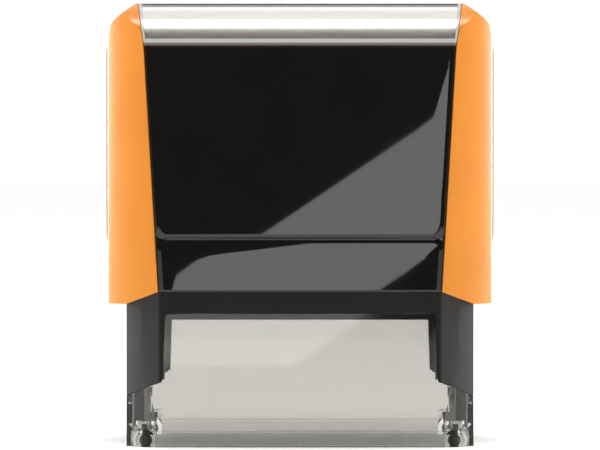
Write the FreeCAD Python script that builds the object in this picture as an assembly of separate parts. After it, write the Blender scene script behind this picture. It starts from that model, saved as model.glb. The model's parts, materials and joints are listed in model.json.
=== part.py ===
"""Self-inking stamp for a 58 x 22 mm text plate.

A sprung cap slides down over a base that stands on the paper. The cap carries a U-shaped yoke, and the yoke's
limbs hold the ends of the plate holder. One guide pin on each end of the holder runs in a curved groove in the
base's side wall, so the holder turns half a turn on the way down: its rubber die faces the ink pad when the cap
is up, and the paper when the cap is down.

Frame: millimetres, +X to the right, +Y to the back, +Z up. The origin is on the table, at the middle of the base.
Left and right pieces are mirror images, and so are front and rear ones.
"""

import FreeCAD
import Part
import math
import os

V = FreeCAD.Vector
OUT = "parts"

# ---------------------------------------------------------------- driving dimensions
PLATE_LENGTH = 58.0  # text plate, along X
PLATE_WIDTH = 22.0  # text plate, along Y
STROKE = 26.5  # the cap's travel
DIE_RADIUS = 8.5  # from the holder's axle to the printing face
LEAN_DEG = 1.3  # the front and rear faces lean back towards the top

# clearances
TURN_CLEARANCE = 0.2  # left between the turning die's corner and the pad or the paper
PAD_EXTRA = 0.1  # more of it at the pad
HOLDER_GAP = 0.4  # holder's end to the base's side wall
LIMB_GAP = 0.25  # yoke's limb to the base, and to the cap
CAP_SLIDE_GAP = 0.35  # cap to base, on the wings and at the faces
TRAY_GAP = 0.2  # ink tray to its rails
PIN_GAP = 0.2  # guide pin to its groove, all round
AXLE_GAP = 0.2  # axle to the base's slot
BEARING_GAP = 0.05  # axle to the yoke's hole
PART_GAP = 0.12  # between moulded parts that clip together
BUTTON_GAP = 0.2  # lock button to the edges of its holes

# walls
CAP_WALL = 1.9
PANEL_THICK = 1.1  # glossy front and rear panels
PANEL_BACK = 1.2  # cap wall behind a panel
FRAME_WALL = 1.6
FRAME_SIDE_WALL = 3.4
CLEAR_WALL = 1.4
DECK = 1.2  # the base frame's top
BED = 1.55  # cap's top, under the index card
LIMB = 1.3
CARD = 0.3
WINDOW = 1.2  # clear index window

# turning mechanism
AXLE_R = 1.25
GUIDE_PIN_R = 2.0
GUIDE_ARM = 4.5  # from the axle to each guide pin
GROOVE_DEPTH = 1.2
HOLDER_END = 1.4  # holder's end cheeks
HOLDER_PLATE = 1.2
MOUNT_PLATE = 0.8  # stiff plate under the rubber
RUBBER_SHEET = 1.2
RELIEF = 0.7  # height of the raised print
RELIEF_MARGIN = 0.6  # from the plate's edge to the print

# ink pad
FELT_MARGIN_X = 1.0  # the felt reaches past the plate
FELT_MARGIN_Y = 0.4
TRAY_WALL_X = 1.6
TRAY_WALL_Y = 0.9
TRAY_HEIGHT = 6.0
TRAY_ROOF = 2.0
FELT_PROUD = 0.5  # felt stands below the tray's rim
GRIP_THICK = 1.8
GRIP_HALF_Y = 6.0

# spring
SPRING_R = 6.5
SPRING_WIRE = 0.8
SPRING_TURNS = 5.0
SPRING_END_TURNS = 0.75  # flat coils at each end
SPRING_CLOSED_PITCH = 1.06  # in wire thicknesses
SPRING_SOLID_ROOM = 4.3  # what is left for the closed coils at full stroke

# outside shape
SWING_ROOM = 3.1  # turning plate to the base's front wall
CAP_TABLE_GAP = 1.4  # cap's lower edge above the table at full stroke
ARCH_RISE = 2.4  # the cap's lower edge is higher at the front than at the sides
WING_RUN = 9.9  # how far the flat front stops short of the cap's side
WING_RADIUS = 22.0
SIDE_FLAT_EXTRA = 0.6  # side flat's edge past the yoke's limb
TOP_ROUND = 7.6
CHEEK_RUN = 5.6  # sloping shoulder at the top corners
CHEEK_MID_RUN = 0.8
CHEEK_DROP = 3.7
CHEEK_LOW_DROP = 7.8
CREASE_R = 1.2

# clear foot
FOOT_LIFT = 0.15  # clear base above the table: the rubber feet stand proud
LEG_SKIRT = 10.15  # height of the clear skirt at the sides
SKIRT_RISE = 2.6  # and how much higher it is at the front corners
PANE_TOP = 26.1
PANE_HALF_TOP = 26.3
PANE_HALF_LOW = 26.8
PANE_CORNER = 0.6
RIM_HEIGHT = 3.1
RIM_THICK = 2.3
NOTCH_HALF = 1.95
NOTCH_HEIGHT = 3.5
FOOT_X = 30.0
FOOT_BALL_R = 1.25
FOOT_FLAT_R = 0.9  # the ball's flat underside
FOOT_STEM_R = 0.75
FOOT_STEM = 1.0  # the stem's length in its boss
MARK_HALF = 20.0  # alignment groove
MARK_TICK = 0.35
MARK_LOW = 0.7
MARK_HEIGHT = 1.6
MARK_DEPTH = 0.7

# lock buttons
BUTTON_TRAVEL = 1.0
BUTTON_HALF_Y = 8.0
BUTTON_LOW = 3.0  # button's lower edge above the axle
BUTTON_HEIGHT = 4.6
PRONG_Y = 6.6
PRONG_HALF_Y = 0.95
PRONG_HEIGHT = 1.8
LOCK_STROKE = 4.8  # how far the cap is pressed when the buttons lock it

# side plates
PLATE_RECESS = 0.8
PLATE_PROUD = 0.18
SIDE_PLATE_LOW = 40.0
SIDE_PLATE_EDGE = 0.8  # inside the side flat's edge

BIG = 200.0

# ---------------------------------------------------------------- worked-out dimensions
TAN_LEAN = math.tan(math.radians(LEAN_DEG))
PLATE_X = PLATE_LENGTH / 2
PLATE_Y = PLATE_WIDTH / 2
RELIEF_X = PLATE_X - RELIEF_MARGIN
RELIEF_Y = PLATE_Y - RELIEF_MARGIN


def turn_rise():
    """How far a corner of the print rises above its own starting height while the holder starts to turn."""
    steps = [STROKE * i / 400 for i in range(200)]
    turns = [math.pi * s / STROKE for s in steps]
    return max(
        RELIEF_Y * math.sin(t) - s - DIE_RADIUS * (1 - math.cos(t))
        for s, t in zip(steps, turns)
    )


PRESS_GAP = turn_rise() + TURN_CLEARANCE  # die above the table at full stroke
PAD_GAP = PRESS_GAP + PAD_EXTRA  # die to felt at rest

AXLE_Z = STROKE + DIE_RADIUS + PRESS_GAP
FELT_Z = AXLE_Z + DIE_RADIUS + PAD_GAP
TRAY_Z = FELT_Z + FELT_PROUD
TRAY_TOP = TRAY_Z + TRAY_HEIGHT
DECK_Z = TRAY_TOP + 0.3
FRAME_TOP = DECK_Z + DECK
CAP_INNER_TOP = FRAME_TOP + SPRING_SOLID_ROOM + STROKE
HEIGHT = CAP_INNER_TOP + BED + CARD + 0.05 + WINDOW

HOLDER_X = PLATE_X + 1.0
FRAME_INNER_X = HOLDER_X + HOLDER_GAP
FRAME_X = FRAME_INNER_X + FRAME_SIDE_WALL
LIMB_IN = FRAME_X + LIMB_GAP
LIMB_OUT = LIMB_IN + LIMB
CAP_INNER_X = LIMB_OUT + LIMB_GAP
CAP_X = CAP_INNER_X + CAP_WALL

FELT_X = PLATE_X + FELT_MARGIN_X
FELT_Y = PLATE_Y + FELT_MARGIN_Y
TRAY_X = FELT_X + TRAY_WALL_X
TRAY_Y = FELT_Y + TRAY_WALL_Y
PORT_Y = TRAY_Y + 1.5 * TRAY_GAP  # half width of every opening that the tray leaves through
LIMB_Y = PORT_Y + 2.0
SIDE_FLAT_Y = LIMB_Y + SIDE_FLAT_EXTRA

CAP_BOTTOM = STROKE + CAP_TABLE_GAP
PANEL_BOTTOM = CAP_BOTTOM + ARCH_RISE
PANEL_TOP = HEIGHT - 8.4
WINDOW_BOTTOM = PANEL_TOP

SWING_R = math.hypot(PLATE_Y, DIE_RADIUS - RELIEF)
FRAME_Y_AT_AXLE = SWING_R + SWING_ROOM + FRAME_WALL
CAP_FRONT_WALL = PANEL_THICK + PANEL_BACK
FRAME_Y_AT_FOOT = FRAME_Y_AT_AXLE + AXLE_Z * TAN_LEAN
CAP_Y = FRAME_Y_AT_FOOT + CAP_FRONT_WALL + CAP_SLIDE_GAP + (STROKE - PANEL_BOTTOM) * TAN_LEAN


def wing_centre():
    """Centre, in the quadrant x > 0 and y > 0, of the arc that makes the cap's wing."""
    x0, y0 = CAP_X - WING_RUN, CAP_Y
    x1, y1 = CAP_X, SIDE_FLAT_Y
    chord = math.hypot(x1 - x0, y1 - y0)
    out = ((y0 - y1) / chord, (x1 - x0) / chord)
    depth = math.sqrt(WING_RADIUS**2 - chord**2 / 4)
    return (x0 + x1) / 2 - out[0] * depth, (y0 + y1) / 2 - out[1] * depth


WING_CX, WING_CY = wing_centre()
FRAME_WING_R = WING_RADIUS - CAP_WALL - CAP_SLIDE_GAP


def cap_y(z):
    """Half depth of the cap's outer surface at height z."""
    return CAP_Y - (z - PANEL_BOTTOM) * TAN_LEAN


def frame_y(z):
    """Half depth of the base's outer surface at height z."""
    return FRAME_Y_AT_FOOT - z * TAN_LEAN


def guide_pin_c(s):
    """Where the left guide pin is when the cap is down by s: it starts under the axle."""
    turn = math.pi * s / STROKE
    return GUIDE_ARM * math.sin(turn), AXLE_Z - s - GUIDE_ARM * math.cos(turn)


def guide_pin_s(s):
    """Where the right guide pin is when the cap is down by s: it starts behind the axle."""
    turn = math.pi * s / STROKE
    return GUIDE_ARM * math.cos(turn), AXLE_Z - s + GUIDE_ARM * math.sin(turn)


# ---------------------------------------------------------------- building blocks
def box(x0, x1, y0, y1, z0, z1):
    return Part.makeBox(x1 - x0, y1 - y0, z1 - z0, V(x0, y0, z0))


def centred_box(half_x, half_y, z0, z1):
    return box(-half_x, half_x, -half_y, half_y, z0, z1)


def rod_x(radius, x0, x1, y, z):
    return Part.makeCylinder(radius, x1 - x0, V(x0, y, z), V(1, 0, 0))


def rod_z(radius, x, y, z0, z1):
    return Part.makeCylinder(radius, z1 - z0, V(x, y, z0), V(0, 0, 1))


def xz_prism(points, y0, y1):
    """A polygon of (x, z) points, extruded along Y."""
    corners = [V(x, y0, z) for x, z in points]
    face = Part.Face(Part.makePolygon(corners + corners[:1]))
    return face.extrude(V(0, y1 - y0, 0))


def yz_prism(points, x0, x1):
    """A polygon of (y, z) points, extruded along X."""
    corners = [V(x0, y, z) for y, z in points]
    face = Part.Face(Part.makePolygon(corners + corners[:1]))
    return face.extrude(V(x1 - x0, 0, 0))


def slot_yz(half_y, z0, z1, x0, x1, y=0.0):
    """A slot with round ends, through X, from z0 to z1 measured over the ends."""
    straight = box(x0, x1, y - half_y, y + half_y, z0 + half_y, z1 - half_y)
    ends = [rod_x(half_y, x0, x1, y, z0 + half_y), rod_x(half_y, x0, x1, y, z1 - half_y)]
    return straight.multiFuse(ends)


def rounded_box_x(x0, x1, half_y, z0, z1, radius):
    """A box with its four edges along X rounded."""
    block = box(x0, x1, -half_y, half_y, z0, z1)
    return fillet_where(block, radius, lambda e: along(e, V(1, 0, 0)))


def along(edge, direction):
    """Whether an edge is straight and lies along a direction."""
    if edge.Curve.TypeId != "Part::GeomLine":
        return False
    return abs(edge.tangentAt(edge.FirstParameter).dot(direction)) > 0.999


def fillet_where(shape, radius, keep):
    """Rounds the edges for which keep(edge) is true."""
    return shape.makeFillet(radius, [e for e in shape.Edges if keep(e)])


def chamfer_where(shape, size, keep):
    return shape.makeChamfer(size, [e for e in shape.Edges if keep(e)])


def mirror_x(shape):
    return shape.mirror(V(0, 0, 0), V(1, 0, 0))


def turned(shape):
    """The same piece at the rear: turned half a turn about Z."""
    copy = shape.copy()
    copy.rotate(V(0, 0, 0), V(0, 0, 1), 180)
    return copy


def both_sides(shape):
    return [shape, mirror_x(shape)]


def four_corners(shape):
    pair = both_sides(shape)
    return pair + [turned(s) for s in pair]


def cut(shape, tools):
    return shape.cut(Part.makeCompound(tools)) if len(tools) > 1 else shape.cut(tools[0])


def export(name, solids):
    """Writes one node: a single solid, or a group of separate solids."""
    shapes = solids if isinstance(solids, list) else [solids]
    bodies = [s for shape in shapes for s in shape.Solids]
    shape = bodies[0] if len(bodies) == 1 else Part.makeCompound(bodies)
    shape.exportStep(os.path.join(OUT, name + ".step"))
    print(f"{name:20s} solids {len(bodies)} volume {shape.Volume:9.1f} valid {shape.isValid()}")


def plan_prism(side_x, front_y, wing_r, z0, z1, crease=0.0):
    """The stamp's plan shape: flat front, back and sides, joined at the corners by wings of radius wing_r."""
    front_y = min(front_y, WING_CY + 0.995 * wing_r)
    x_front = WING_CX + math.sqrt(wing_r**2 - (front_y - WING_CY) ** 2)
    y_side = WING_CY + math.sqrt(wing_r**2 - (side_x - WING_CX) ** 2)
    mid = math.atan2(front_y + y_side - 2 * WING_CY, x_front + side_x - 2 * WING_CX)
    xm = WING_CX + wing_r * math.cos(mid)
    ym = WING_CY + wing_r * math.sin(mid)
    edges = []
    for sx, sy in ((1, -1), (1, 1), (-1, 1), (-1, -1)):
        start, middle, end = (x_front, front_y), (xm, ym), (side_x, y_side)
        if sx * sy > 0:
            start, end = end, start
        a, m, b = (V(sx * p[0], sy * p[1], z0) for p in (start, middle, end))
        edges.append((a, Part.Arc(a, m, b).toShape(), b))
    wires = []
    for i, (a, arc, b) in enumerate(edges):
        following = edges[(i + 1) % 4][0]
        wires += [arc, Part.makeLine(b, following)]
    prism = Part.Face(Part.Wire(wires)).extrude(V(0, 0, z1 - z0))
    if crease:
        at_side = lambda e: abs(abs(e.CenterOfMass.x) - side_x) < 0.01
        prism = fillet_where(prism, crease, lambda e: along(e, V(0, 0, 1)) and at_side(e))
    return prism


def lean_prism(half_depth, z0, z1, inset=0.0, top_round=0.0):
    """Everything between two faces that lean inwards, half_depth(z) - inset from the middle."""
    y0, y1 = half_depth(z0) - inset, half_depth(z1) - inset
    prism = yz_prism([(-y0, z0), (y0, z0), (y1, z1), (-y1, z1)], -BIG, BIG)
    if top_round:
        at_top = lambda e: abs(e.CenterOfMass.z - z1) < 0.01
        prism = fillet_where(prism, top_round, lambda e: along(e, V(1, 0, 0)) and at_top(e))
    return prism


def shoulder_points(half_x, top, inset):
    """The cap's outline from the front, above its lower edge: straight sides and sloping shoulders."""
    reach = CHEEK_RUN - CHEEK_MID_RUN
    slope = math.hypot(reach, CHEEK_DROP)
    nx, nz = CHEEK_DROP / slope, reach / slope
    peak_x, peak_z = CAP_X - CHEEK_RUN - nx * inset, HEIGHT - nz * inset
    fall = CHEEK_DROP / reach
    inner_x = peak_x + (peak_z - top) / fall
    if inset:
        return [(half_x, peak_z - (half_x - peak_x) * fall), (inner_x, top)]
    low = (half_x, top - CHEEK_LOW_DROP)
    return [low, (half_x - CHEEK_MID_RUN, top - CHEEK_DROP), (peak_x, top)]


def silhouette_prism(half_x, bottom, top, inset=0.0, round_r=0.0):
    """The cap's front outline as a prism along Y, with a lower edge given as (x, z) points."""
    right = bottom + shoulder_points(half_x, top, inset)
    left = [(-x, z) for x, z in reversed(right)]
    prism = xz_prism(right + left, -BIG, BIG)
    if round_r:
        low, mid = HEIGHT - CHEEK_LOW_DROP, HEIGHT - CHEEK_DROP
        at_bend = lambda e: min(abs(e.CenterOfMass.z - low), abs(e.CenterOfMass.z - mid)) < 0.01
        prism = fillet_where(prism, round_r, lambda e: along(e, V(0, 1, 0)) and at_bend(e))
    return prism


# ---------------------------------------------------------------- cap
def cap_outer(grow=0.0):
    """The cap's outside, as one block. grow moves only its faces and its top outwards."""
    z_low = CAP_BOTTOM - 1.0
    block = plan_prism(CAP_X, CAP_Y + 0.5, WING_RADIUS, z_low, HEIGHT + 1, CREASE_R)
    faces = lean_prism(cap_y, z_low, HEIGHT + grow, -grow, TOP_ROUND + grow)
    lower_edge = [(CAP_X - WING_RUN, PANEL_BOTTOM), (FRAME_X, CAP_BOTTOM), (CAP_X, CAP_BOTTOM)]
    outline = silhouette_prism(CAP_X, lower_edge, HEIGHT, round_r=3.0)
    return block.common(faces) if grow else block.common(faces).common(outline)


def cap_cavity(gap=0.0):
    """The cap's inside, open at the bottom, or what fits in it with a gap at the sides."""
    z_low = CAP_BOTTOM - 2.0
    depth = CAP_FRONT_WALL + gap
    front = cap_y(z_low) - depth + 0.2
    block = plan_prism(CAP_INNER_X - gap, front, WING_RADIUS - CAP_WALL - gap, z_low, HEIGHT)
    faces = lean_prism(cap_y, z_low, CAP_INNER_TOP, depth, TOP_ROUND - depth)
    outline = silhouette_prism(CAP_INNER_X - gap, [(CAP_INNER_X - gap, z_low)], CAP_INNER_TOP, CAP_WALL + gap)
    return block.common(faces).common(outline)


def panel_outline(gap):
    """The front panel's outline from the front, gap inside its recess. Its sides follow the wings' edges."""
    def half(z):
        return WING_CX + math.sqrt(WING_RADIUS**2 - (cap_y(z) - WING_CY) ** 2) - 0.12 - gap

    z0, z1 = PANEL_BOTTOM + gap, PANEL_TOP - gap
    return [(-half(z0), z0), (half(z0), z0), (half(z1), z1), (-half(z1), z1)]


def window_outline(gap):
    """The index window's outline from the front."""
    top = HEIGHT + 2.0
    low_x = panel_outline(0.0)[2][0]
    high_x = CAP_X - CHEEK_RUN - 0.1
    z0 = WINDOW_BOTTOM + gap
    return [(gap - low_x, z0), (low_x - gap, z0), (high_x - gap, top), (gap - high_x, top)]


def front_slab(outline, inset_out, inset_in):
    """A slab that follows the leaning front face, between two depths below it."""
    z0, z1 = CAP_BOTTOM, HEIGHT
    outer0, outer1 = cap_y(z0) - inset_out, cap_y(z1) - inset_out
    inner0, inner1 = cap_y(z0) - inset_in, cap_y(z1) - inset_in
    slab = yz_prism([(-outer0, z0), (-inner0, z0), (-inner1, z1), (-outer1, z1)], -BIG, BIG)
    return slab.common(xz_prism(outline, -BIG, BIG))


PEG_R = 0.8
PEG_X = CAP_X - CHEEK_RUN - 1.5
PEG_Y = 9.0
PEG_LENGTH = 1.3
PEG_CLEAR = 0.2  # the card's holes round the pegs
CARD_GAP = 0.02  # between the card and the window
SNAP_Z = CAP_INNER_TOP - 20.0
SNAP_HALF_Y = 3.0
SNAP_REACH = 0.55
RIB_R = 4.0  # spring's locating pegs
SIDE_PLATE_Y = SIDE_FLAT_Y - SIDE_PLATE_EDGE
SIDE_PLATE_TOP = HEIGHT - CHEEK_LOW_DROP - 0.4
PORT_LOW = FELT_Z - 0.3
PORT_HIGH = TRAY_TOP + LOCK_STROKE + 1.5
BUTTON_Z0 = AXLE_Z + BUTTON_LOW
BUTTON_Z1 = BUTTON_Z0 + BUTTON_HEIGHT


def cap_shell():
    """The coloured cap: wings, sides and the bed under the index window, open at the bottom."""
    shell = cap_outer().cut(cap_cavity())
    panel_recess = front_slab(panel_outline(0.0), -1.0, PANEL_THICK)
    window_recess = xz_prism(window_outline(0.0), -BIG, BIG)
    depth = WINDOW + CARD + 0.05
    bed = lean_prism(cap_y, CAP_BOTTOM, HEIGHT - depth, depth, TOP_ROUND - depth)
    peg_holes = four_corners(rod_z(PEG_R + 0.1, PEG_X, PEG_Y, HEIGHT - depth - PEG_LENGTH - 0.2, HEIGHT))
    shell = cut(shell, [panel_recess, turned(panel_recess)])
    shell = shell.cut(window_recess.cut(bed))
    shell = cut(shell, peg_holes)
    port = rounded_box_x(CAP_INNER_X - 0.5, CAP_X + 1, PORT_Y + 0.1, PORT_LOW, PORT_HIGH, 1.5)
    button_hole = box(CAP_INNER_X - 0.5, CAP_X + 1, -BUTTON_HALF_Y - BUTTON_GAP, BUTTON_HALF_Y + BUTTON_GAP,
                      BUTTON_Z0 - BUTTON_GAP, BUTTON_Z1 + BUTTON_GAP)
    recess = rounded_box_x(CAP_X - PLATE_RECESS, CAP_X + 1, SIDE_PLATE_Y, SIDE_PLATE_LOW, SIDE_PLATE_TOP, 2.5)
    snap = box(CAP_INNER_X - 0.5, LIMB_OUT + SNAP_REACH + 0.1, -SNAP_HALF_Y - 0.1, SNAP_HALF_Y + 0.1,
               SNAP_Z - 0.1, SNAP_Z + 2.1)
    for side in (port, button_hole, recess, snap):
        shell = cut(shell, both_sides(side))
    locator = rod_z(RIB_R, 0, 0, CAP_INNER_TOP - 1.5, CAP_INNER_TOP + 0.2)
    return shell.fuse(locator)


BEAD_Z = PANEL_BOTTOM + 10.45  # fine bead between the panel's two fields
BEAD_R = 0.3
FIELD_STEP = 0.35
BEAD_MARGIN_X = 1.6
FIELD_MARGIN_X = 1.0
FIELD_MARGIN_Z = 0.15
FIELD_CORNER = 1.4
FIELD_TO_BEAD = 0.75


def panel_half(z, margin):
    """Half width of the front panel at height z, less a margin."""
    (_, _), (x0, z0), (x1, z1), (_, _) = panel_outline(PART_GAP)
    return x0 + (z - z0) * (x1 - x0) / (z1 - z0) - margin


def panel_field(z0, z1):
    """One raised field of the front panel, with round corners and softened edges."""
    half0, half1 = panel_half(z0, FIELD_MARGIN_X), panel_half(z1, FIELD_MARGIN_X)
    block = xz_prism([(-half0, z0), (half0, z0), (half1, z1), (-half1, z1)], -BIG, BIG)
    block = fillet_where(block, FIELD_CORNER, lambda e: along(e, V(0, 1, 0)))
    everywhere = [(-BIG, 0), (BIG, 0), (BIG, BIG), (-BIG, BIG)]
    raised = front_slab(everywhere, 0.0, FIELD_STEP + 0.1).common(block)
    lowest = min(e.CenterOfMass.y + cap_y(e.CenterOfMass.z) for e in raised.Edges)
    outer = lambda e: e.CenterOfMass.y + cap_y(e.CenterOfMass.z) < lowest + 0.02
    return chamfer_where(raised, 0.25, outer)


def front_panel():
    """Glossy panel: a thin plate with two raised fields and a fine bead between them."""
    plate = front_slab(panel_outline(PART_GAP), FIELD_STEP, PANEL_THICK)
    upper = panel_field(BEAD_Z + FIELD_TO_BEAD, PANEL_TOP - PART_GAP - FIELD_MARGIN_Z)
    lower = panel_field(PANEL_BOTTOM + PART_GAP + FIELD_MARGIN_Z, BEAD_Z - FIELD_TO_BEAD)
    bead_half = panel_half(BEAD_Z, BEAD_MARGIN_X)
    bead = rod_x(BEAD_R, -bead_half, bead_half, FIELD_STEP - cap_y(BEAD_Z), BEAD_Z)
    return plate.multiFuse([upper, lower, bead]).removeSplitter()


def index_window():
    """Clear cover over the index card, with a bead along its lower edges and four pegs under its ends."""
    skin = cap_outer(0.0).common(xz_prism(window_outline(PART_GAP), -BIG, BIG))
    inner = lean_prism(cap_y, CAP_BOTTOM, HEIGHT - WINDOW, WINDOW, TOP_ROUND - WINDOW)
    lip_z = WINDOW_BOTTOM + PART_GAP
    seat = lean_prism(cap_y, CAP_BOTTOM, HEIGHT - WINDOW - CARD, WINDOW + CARD, TOP_ROUND - WINDOW - CARD)
    skin = skin.cut(inner.cut(box(-BIG, BIG, -BIG, BIG, 0, lip_z + 0.9)))
    skin = skin.cut(seat)
    bead_zone = box(-BIG, BIG, -BIG, BIG, lip_z, lip_z + 0.8)
    proud = cap_outer(0.25).cut(inner).common(bead_zone).common(xz_prism(window_outline(PART_GAP), -BIG, BIG))
    pegs = four_corners(rod_z(PEG_R, PEG_X, PEG_Y, HEIGHT - WINDOW - CARD - PEG_LENGTH, HEIGHT - WINDOW / 2))
    return skin.multiFuse([proud] + pegs).removeSplitter()


def index_card():
    """Card bent over the cap's top, under the whole window, with a hole round each of the window's pegs."""
    zone = box(-BIG, BIG, -BIG, BIG, WINDOW_BOTTOM + PART_GAP + 1.0, HEIGHT)
    depth = WINDOW + CARD_GAP
    outer = lean_prism(cap_y, CAP_BOTTOM, HEIGHT - depth, depth, TOP_ROUND - depth)
    depth += CARD
    inner = lean_prism(cap_y, CAP_BOTTOM, HEIGHT - depth, depth, TOP_ROUND - depth)
    card = outer.cut(inner).common(zone).common(xz_prism(window_outline(PART_GAP), -BIG, BIG))
    return cut(card, four_corners(rod_z(PEG_R + PEG_CLEAR, PEG_X, PEG_Y, HEIGHT - depth - 1, HEIGHT)))


def side_plate():
    """Thin trim plate let into the cap's right side, open where the ink tray and the lock button are."""
    gap = PART_GAP
    plate = rounded_box_x(CAP_X - PLATE_RECESS, CAP_X + PLATE_PROUD, SIDE_PLATE_Y - gap,
                          SIDE_PLATE_LOW + gap, SIDE_PLATE_TOP - gap, 2.5 - gap)
    port = rounded_box_x(0, BIG, PORT_Y + 0.1, PORT_LOW, PORT_HIGH, 1.5)
    notch = box(0, BIG, -BUTTON_HALF_Y - 2 * BUTTON_GAP, BUTTON_HALF_Y + 2 * BUTTON_GAP, 0, PORT_LOW + 2)
    return cut(plate, [port, notch])


def yoke():
    """U-shaped yoke inside the cap: a web under its top, and a limb down each side to the holder's axle."""
    def rail(inset, top):
        slope = shoulder_points(CAP_INNER_X - inset, top, CAP_WALL + inset)
        return slope

    low = AXLE_Z - 4.0
    outer = [(LIMB_OUT, low)] + rail(LIMB_GAP, CAP_INNER_TOP)
    inner = [(LIMB_IN, low)] + rail(LIMB_GAP + LIMB, CAP_INNER_TOP - LIMB)
    outline = outer + [(-x, z) for x, z in reversed(outer)]
    hollow = inner + [(-x, z) for x, z in reversed(inner)]
    hollow = [(x, z - 0.001 if z == low else z) for x, z in hollow]
    body = xz_prism(outline, -LIMB_Y, LIMB_Y).cut(xz_prism(hollow, -BIG, BIG)).common(cap_cavity(LIMB_GAP))
    tray_port = box(LIMB_IN - 1, LIMB_OUT + 1, -PORT_Y, PORT_Y, BUTTON_Z0 - 0.4, PORT_HIGH + 0.1)
    lug = box(LIMB_IN - 1, LIMB_OUT + 1, 6.0, BIG, low - 1, AXLE_Z - 1.5)
    foot_corner = box(LIMB_IN - 1, LIMB_OUT + 1, -BIG, -6.0, low - 1, AXLE_Z - 1.5)
    bearing = rod_x(AXLE_R + BEARING_GAP, LIMB_IN - 1, LIMB_OUT + 1, 0, AXLE_Z)
    for tool in (tray_port, lug, foot_corner, bearing):
        body = cut(body, both_sides(tool))
    spring_hole = rod_z(SPRING_R + 1.5, 0, 0, CAP_INNER_TOP - 5, HEIGHT)
    light = [box(13.0, 28.0, -9.0, 9.0, CAP_INNER_TOP - 5, HEIGHT)]
    body = cut(body, [spring_hole] + light + [mirror_x(s) for s in light])
    snap = box(LIMB_OUT - 0.1, LIMB_OUT + SNAP_REACH, -SNAP_HALF_Y, SNAP_HALF_Y, SNAP_Z, SNAP_Z + 2.0)
    return body.multiFuse(both_sides(snap))


def lock_button():
    """Right lock button: a thumb pad outside, spring arms behind the cap's wall, and two prongs that lock."""
    pad = box(LIMB_OUT - 0.15, CAP_X + PLATE_PROUD, -BUTTON_HALF_Y, BUTTON_HALF_Y, BUTTON_Z0, BUTTON_Z1)
    outer_edge = lambda e: abs(e.CenterOfMass.x - CAP_X - PLATE_PROUD) < 0.01
    pad = fillet_where(pad, 0.35, outer_edge)
    grooves = [rod_between_y(0.3, CAP_X + PLATE_PROUD + 0.1, BUTTON_HALF_Y - 1.2, z)
               for z in (BUTTON_Z0 + 1.3, BUTTON_Z0 + 2.3, BUTTON_Z0 + 3.3)]
    arm_x0, arm_x1 = LIMB_OUT - 0.4, LIMB_OUT + 0.05
    arms = box(arm_x0, arm_x1, -PORT_Y + 0.4, PORT_Y - 0.4, BUTTON_Z0 + 0.3, BUTTON_Z1 - 0.5)
    prong_top = BUTTON_Z1 - 0.2
    prong_low = prong_top - PRONG_HEIGHT
    prongs = [box(FRAME_X + 0.15, arm_x1, y - PRONG_HALF_Y, y + PRONG_HALF_Y, prong_low, prong_top)
              for y in (-PRONG_Y, PRONG_Y)]
    return cut(pad, grooves).multiFuse([arms] + prongs)


def rod_between_y(radius, x, half_y, z):
    return Part.makeCylinder(radius, 2 * half_y, V(x, -half_y, z), V(0, 1, 0))


# ---------------------------------------------------------------- plate holder
def plate_holder():
    """Holder for the text plate, with stub axles and one guide pin on each end."""
    top = AXLE_Z + DIE_RADIUS - RELIEF - RUBBER_SHEET - MOUNT_PLATE
    half_y = PLATE_Y + 0.4
    plate = centred_box(HOLDER_X, half_y, top - HOLDER_PLATE, top)
    disc_r = GUIDE_ARM + GUIDE_PIN_R + 0.3
    disc = rod_x(disc_r, HOLDER_X - HOLDER_END, HOLDER_X, 0, AXLE_Z)
    under = top - HOLDER_PLATE
    web = yz_prism([(-disc_r, AXLE_Z), (disc_r, AXLE_Z), (half_y, under), (-half_y, under)],
                   HOLDER_X - HOLDER_END, HOLDER_X)
    axle = rod_x(AXLE_R, HOLDER_X - HOLDER_END, LIMB_OUT - 0.15, 0, AXLE_Z)
    axle = chamfer_where(axle, 0.35, lambda e: e.CenterOfMass.x > LIMB_IN)
    ribs = [box(-HOLDER_X, HOLDER_X, y - 0.6, y + 0.6, AXLE_Z + drop, top - 0.1)
            for y, drop in ((0.0, -2.0), (-8.5, 1.5), (8.5, 1.5))]
    ties = [box(x - 0.6, x + 0.6, -8.5, 8.5, AXLE_Z + 1.5, top - 0.1) for x in (-14.0, 0.0, 14.0)]
    pin_x = FRAME_INNER_X + GROOVE_DEPTH - PIN_GAP
    y_left, z_left = guide_pin_c(0.0)
    y_right, z_right = guide_pin_s(0.0)
    pin_left = rod_x(GUIDE_PIN_R, -pin_x, -HOLDER_X + 0.5, y_left, z_left)
    pin_right = rod_x(GUIDE_PIN_R, HOLDER_X - 0.5, pin_x, y_right, z_right)
    disc = disc.cut(box(-BIG, BIG, -BIG, BIG, top, BIG))
    ends = both_sides(disc.multiFuse([web, axle]))
    return plate.multiFuse(ends + ribs + ties + [pin_left, pin_right]).removeSplitter()


def mounting_plate():
    """Stiff plate that the rubber is stuck to, on the holder."""
    top = AXLE_Z + DIE_RADIUS - RELIEF - RUBBER_SHEET
    plate = centred_box(PLATE_X + 0.2, PLATE_Y + 0.2, top - MOUNT_PLATE, top)
    return fillet_where(plate, 1.0, lambda e: along(e, V(0, 0, 1)))


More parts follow.
